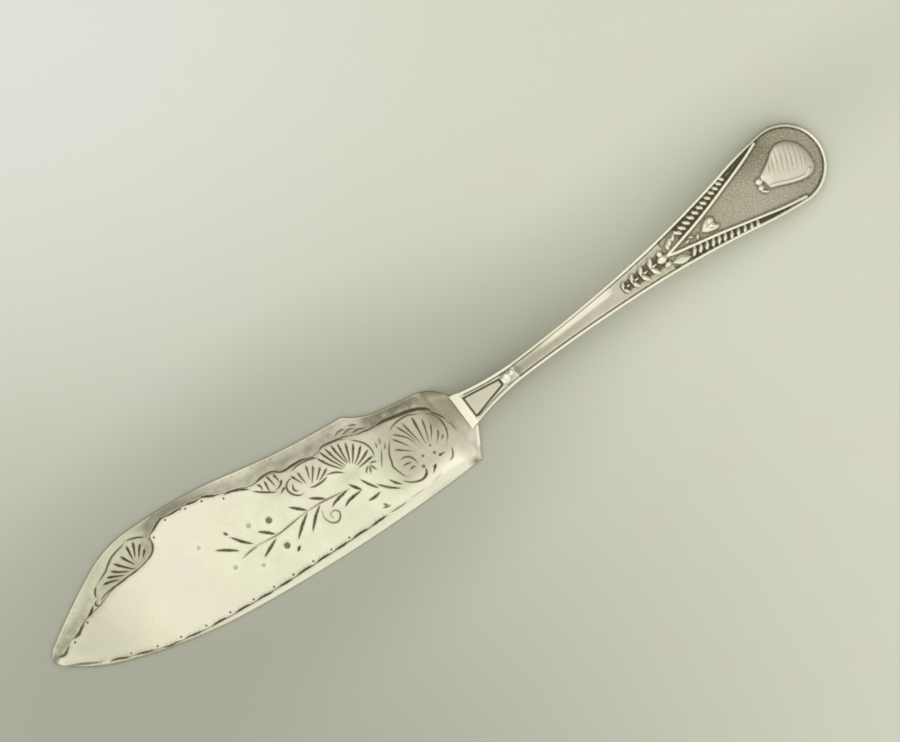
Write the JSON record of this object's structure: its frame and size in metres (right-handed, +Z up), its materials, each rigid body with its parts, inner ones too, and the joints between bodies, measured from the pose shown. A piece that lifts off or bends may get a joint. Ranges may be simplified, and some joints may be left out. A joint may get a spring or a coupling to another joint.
{
  "type": "master butter knife",
  "caption": "One-piece silver-plated master butter knife: broad curved blade with a scalloped back and engraved shells, and a slim arched handle with a sunk, beaded spade end.",
  "frame": {"origin": "centre of the bounding box in plan, on the table that the knife lies on", "axes": "+X along the knife, from the point of the blade to the end of the handle; +Y towards the ornamental back of the blade; +Z up, out of the engraved face"},
  "size_m": [0.1899, 0.0326, 0.0091],
  "materials": {
    "silver_plate": "aged silver plate, soft satin, darkened in the recesses"
  },
  "bodies": {
    "root": {"butter_knife": "silver_plate"}
  },
  "joints": []
}
